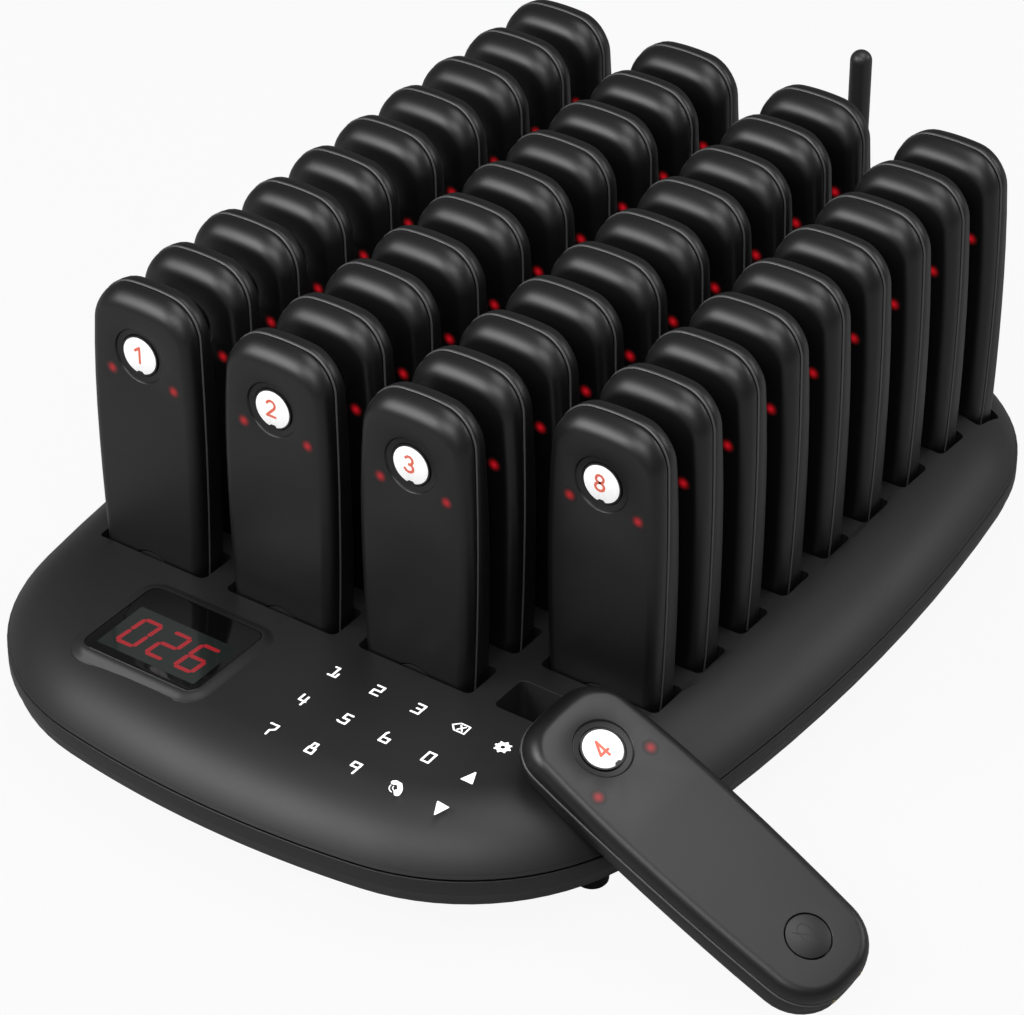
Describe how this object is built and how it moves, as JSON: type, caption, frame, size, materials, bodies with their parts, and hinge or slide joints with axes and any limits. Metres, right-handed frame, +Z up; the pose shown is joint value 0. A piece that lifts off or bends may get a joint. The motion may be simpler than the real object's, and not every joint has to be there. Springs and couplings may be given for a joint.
{
  "type": "guest pager system",
  "caption": "Black guest pager system: a charging base with rows of standing pagers, a display, touch keys and an antenna, and one pager leaning on its side.",
  "frame": {"origin": "middle of the whole object's footprint, on the table", "axes": "+X to the right seen from the front, +Y to the back, +Z up; the display and keys are at the front, -Y"},
  "size_m": [0.3696, 0.4106, 0.1622],
  "materials": {
    "case_plastic": "satin",
    "pager_plastic": "satin",
    "foot_rubber": "matte",
    "steel": "brushed",
    "window_plastic": "gloss",
    "digit_block": "gloss",
    "board_laminate": "matte",
    "contact_metal": "polished",
    "jack_plastic": "matte",
    "antenna_plastic": "satin",
    "badge_white": "satin",
    "battery_wrap": "satin"
  },
  "bodies": {
    "charging_base": {"top_shell": "case_plastic", "bottom_shell": "case_plastic", "rubber_feet": "foot_rubber", "case_screws": "steel", "display_window": "window_plastic", "display_module": "digit_block", "control_board": "board_laminate", "charging_board": "board_laminate", "contact_pins": "contact_metal", "dc_jack": "jack_plastic", "antenna_socket": "contact_metal"},
    "antenna_collar": {"antenna_knuckle": "antenna_plastic"},
    "antenna_rod": {"antenna_whip": "antenna_plastic"},
    "leaning_pager": {"pager_04_front_shell": "pager_plastic", "pager_04_rear_shell": "pager_plastic", "pager_04_number_badge": "badge_white", "pager_04_circuit_board": "board_laminate", "pager_04_battery": "battery_wrap", "pager_04_vibration_motor": "steel", "pager_04_charge_contacts": "contact_metal"},
    "leaning_pager_button": {"pager_04_mute_button": "pager_plastic"},
    "docked_pager_01": {"pager_01": "pager_plastic"},
    "docked_pager_02": {"pager_02": "pager_plastic"},
    "docked_pager_03": {"pager_03": "pager_plastic"},
    "docked_pager_05": {"pager_05": "pager_plastic"},
    "docked_pager_06": {"pager_06": "pager_plastic"},
    "docked_pager_07": {"pager_07": "pager_plastic"},
    "docked_pager_08": {"pager_08": "pager_plastic"},
    "docked_pager_09": {"pager_09": "pager_plastic"},
    "docked_pager_10": {"pager_10": "pager_plastic"},
    "docked_pager_11": {"pager_11": "pager_plastic"},
    "docked_pager_12": {"pager_12": "pager_plastic"},
    "docked_pager_13": {"pager_13": "pager_plastic"},
    "docked_pager_14": {"pager_14": "pager_plastic"},
    "docked_pager_15": {"pager_15": "pager_plastic"},
    "docked_pager_16": {"pager_16": "pager_plastic"},
    "docked_pager_17": {"pager_17": "pager_plastic"},
    "docked_pager_18": {"pager_18": "pager_plastic"},
    "docked_pager_19": {"pager_19": "pager_plastic"},
    "docked_pager_20": {"pager_20": "pager_plastic"},
    "docked_pager_21": {"pager_21": "pager_plastic"},
    "docked_pager_22": {"pager_22": "pager_plastic"},
    "docked_pager_23": {"pager_23": "pager_plastic"},
    "docked_pager_24": {"pager_24": "pager_plastic"},
    "docked_pager_25": {"pager_25": "pager_plastic"},
    "docked_pager_26": {"pager_26": "pager_plastic"},
    "docked_pager_27": {"pager_27": "pager_plastic"},
    "docked_pager_28": {"pager_28": "pager_plastic"},
    "docked_pager_29": {"pager_29": "pager_plastic"},
    "docked_pager_30": {"pager_30": "pager_plastic"},
    "docked_pager_31": {"pager_31": "pager_plastic"},
    "docked_pager_32": {"pager_32": "pager_plastic"},
    "docked_pager_33": {"pager_33": "pager_plastic"},
    "docked_pager_34": {"pager_34": "pager_plastic"},
    "docked_pager_35": {"pager_35": "pager_plastic"},
    "docked_pager_36": {"pager_36": "pager_plastic"},
    "docked_pager_37": {"pager_37": "pager_plastic"},
    "docked_pager_38": {"pager_38": "pager_plastic"},
    "docked_pager_39": {"pager_39": "pager_plastic"},
    "docked_pager_40": {"pager_40": "pager_plastic"}
  },
  "joints": [
    {"name": "antenna_turn", "type": "hinge", "parent": "charging_base", "child": "antenna_collar", "pos_m": [-0.023, 0.20095, 0.018], "axis": [0, 1, 0], "range_deg": [-90, 90]},
    {"name": "antenna_tilt", "type": "hinge", "parent": "antenna_collar", "child": "antenna_rod", "pos_m": [-0.023, 0.20095, 0.018], "axis": [-1, 0, 0], "range_deg": [0, 90]},
    {"name": "pager_04_lift", "type": "slide", "parent": "charging_base", "child": "leaning_pager", "axis": [0, 0, 1], "range_m": [0, 0.15]},
    {"name": "mute_button_press", "type": "slide", "parent": "leaning_pager", "child": "leaning_pager_button", "axis": [-0.4241, 0.1974, -0.8839], "range_m": [0, 0.0005], "stiffness_N_per_m": 1500, "springref_m": -0.0003},
    {"name": "pager_01_lift", "type": "slide", "parent": "charging_base", "child": "docked_pager_01", "axis": [0, 0, 1], "range_m": [0, 0.15]},
    {"name": "pager_02_lift", "type": "slide", "parent": "charging_base", "child": "docked_pager_02", "axis": [0, 0, 1], "range_m": [0, 0.15]},
    {"name": "pager_03_lift", "type": "slide", "parent": "charging_base", "child": "docked_pager_03", "axis": [0, 0, 1], "range_m": [0, 0.15]},
    {"name": "pager_05_lift", "type": "slide", "parent": "charging_base", "child": "docked_pager_05", "axis": [0, 0, 1], "range_m": [0, 0.15]},
    {"name": "pager_06_lift", "type": "slide", "parent": "charging_base", "child": "docked_pager_06", "axis": [0, 0, 1], "range_m": [0, 0.15]},
    {"name": "pager_07_lift", "type": "slide", "parent": "charging_base", "child": "docked_pager_07", "axis": [0, 0, 1], "range_m": [0, 0.15]},
    {"name": "pager_08_lift", "type": "slide", "parent": "charging_base", "child": "docked_pager_08", "axis": [0, 0, 1], "range_m": [0, 0.15]},
    {"name": "pager_09_lift", "type": "slide", "parent": "charging_base", "child": "docked_pager_09", "axis": [0, 0, 1], "range_m": [0, 0.15]},
    {"name": "pager_10_lift", "type": "slide", "parent": "charging_base", "child": "docked_pager_10", "axis": [0, 0, 1], "range_m": [0, 0.15]},
    {"name": "pager_11_lift", "type": "slide", "parent": "charging_base", "child": "docked_pager_11", "axis": [0, 0, 1], "range_m": [0, 0.15]},
    {"name": "pager_12_lift", "type": "slide", "parent": "charging_base", "child": "docked_pager_12", "axis": [0, 0, 1], "range_m": [0, 0.15]},
    {"name": "pager_13_lift", "type": "slide", "parent": "charging_base", "child": "docked_pager_13", "axis": [0, 0, 1], "range_m": [0, 0.15]},
    {"name": "pager_14_lift", "type": "slide", "parent": "charging_base", "child": "docked_pager_14", "axis": [0, 0, 1], "range_m": [0, 0.15]},
    {"name": "pager_15_lift", "type": "slide", "parent": "charging_base", "child": "docked_pager_15", "axis": [0, 0, 1], "range_m": [0, 0.15]},
    {"name": "pager_16_lift", "type": "slide", "parent": "charging_base", "child": "docked_pager_16", "axis": [0, 0, 1], "range_m": [0, 0.15]},
    {"name": "pager_17_lift", "type": "slide", "parent": "charging_base", "child": "docked_pager_17", "axis": [0, 0, 1], "range_m": [0, 0.15]},
    {"name": "pager_18_lift", "type": "slide", "parent": "charging_base", "child": "docked_pager_18", "axis": [0, 0, 1], "range_m": [0, 0.15]},
    {"name": "pager_19_lift", "type": "slide", "parent": "charging_base", "child": "docked_pager_19", "axis": [0, 0, 1], "range_m": [0, 0.15]},
    {"name": "pager_20_lift", "type": "slide", "parent": "charging_base", "child": "docked_pager_20", "axis": [0, 0, 1], "range_m": [0, 0.15]},
    {"name": "pager_21_lift", "type": "slide", "parent": "charging_base", "child": "docked_pager_21", "axis": [0, 0, 1], "range_m": [0, 0.15]},
    {"name": "pager_22_lift", "type": "slide", "parent": "charging_base", "child": "docked_pager_22", "axis": [0, 0, 1], "range_m": [0, 0.15]},
    {"name": "pager_23_lift", "type": "slide", "parent": "charging_base", "child": "docked_pager_23", "axis": [0, 0, 1], "range_m": [0, 0.15]},
    {"name": "pager_24_lift", "type": "slide", "parent": "charging_base", "child": "docked_pager_24", "axis": [0, 0, 1], "range_m": [0, 0.15]},
    {"name": "pager_25_lift", "type": "slide", "parent": "charging_base", "child": "docked_pager_25", "axis": [0, 0, 1], "range_m": [0, 0.15]},
    {"name": "pager_26_lift", "type": "slide", "parent": "charging_base", "child": "docked_pager_26", "axis": [0, 0, 1], "range_m": [0, 0.15]},
    {"name": "pager_27_lift", "type": "slide", "parent": "charging_base", "child": "docked_pager_27", "axis": [0, 0, 1], "range_m": [0, 0.15]},
    {"name": "pager_28_lift", "type": "slide", "parent": "charging_base", "child": "docked_pager_28", "axis": [0, 0, 1], "range_m": [0, 0.15]},
    {"name": "pager_29_lift", "type": "slide", "parent": "charging_base", "child": "docked_pager_29", "axis": [0, 0, 1], "range_m": [0, 0.15]},
    {"name": "pager_30_lift", "type": "slide", "parent": "charging_base", "child": "docked_pager_30", "axis": [0, 0, 1], "range_m": [0, 0.15]},
    {"name": "pager_31_lift", "type": "slide", "parent": "charging_base", "child": "docked_pager_31", "axis": [0, 0, 1], "range_m": [0, 0.15]},
    {"name": "pager_32_lift", "type": "slide", "parent": "charging_base", "child": "docked_pager_32", "axis": [0, 0, 1], "range_m": [0, 0.15]},
    {"name": "pager_33_lift", "type": "slide", "parent": "charging_base", "child": "docked_pager_33", "axis": [0, 0, 1], "range_m": [0, 0.15]},
    {"name": "pager_34_lift", "type": "slide", "parent": "charging_base", "child": "docked_pager_34", "axis": [0, 0, 1], "range_m": [0, 0.15]},
    {"name": "pager_35_lift", "type": "slide", "parent": "charging_base", "child": "docked_pager_35", "axis": [0, 0, 1], "range_m": [0, 0.15]},
    {"name": "pager_36_lift", "type": "slide", "parent": "charging_base", "child": "docked_pager_36", "axis": [0, 0, 1], "range_m": [0, 0.15]},
    {"name": "pager_37_lift", "type": "slide", "parent": "charging_base", "child": "docked_pager_37", "axis": [0, 0, 1], "range_m": [0, 0.15]},
    {"name": "pager_38_lift", "type": "slide", "parent": "charging_base", "child": "docked_pager_38", "axis": [0, 0, 1], "range_m": [0, 0.15]},
    {"name": "pager_39_lift", "type": "slide", "parent": "charging_base", "child": "docked_pager_39", "axis": [0, 0, 1], "range_m": [0, 0.15]},
    {"name": "pager_40_lift", "type": "slide", "parent": "charging_base", "child": "docked_pager_40", "axis": [0, 0, 1], "range_m": [0, 0.15]}
  ]
}
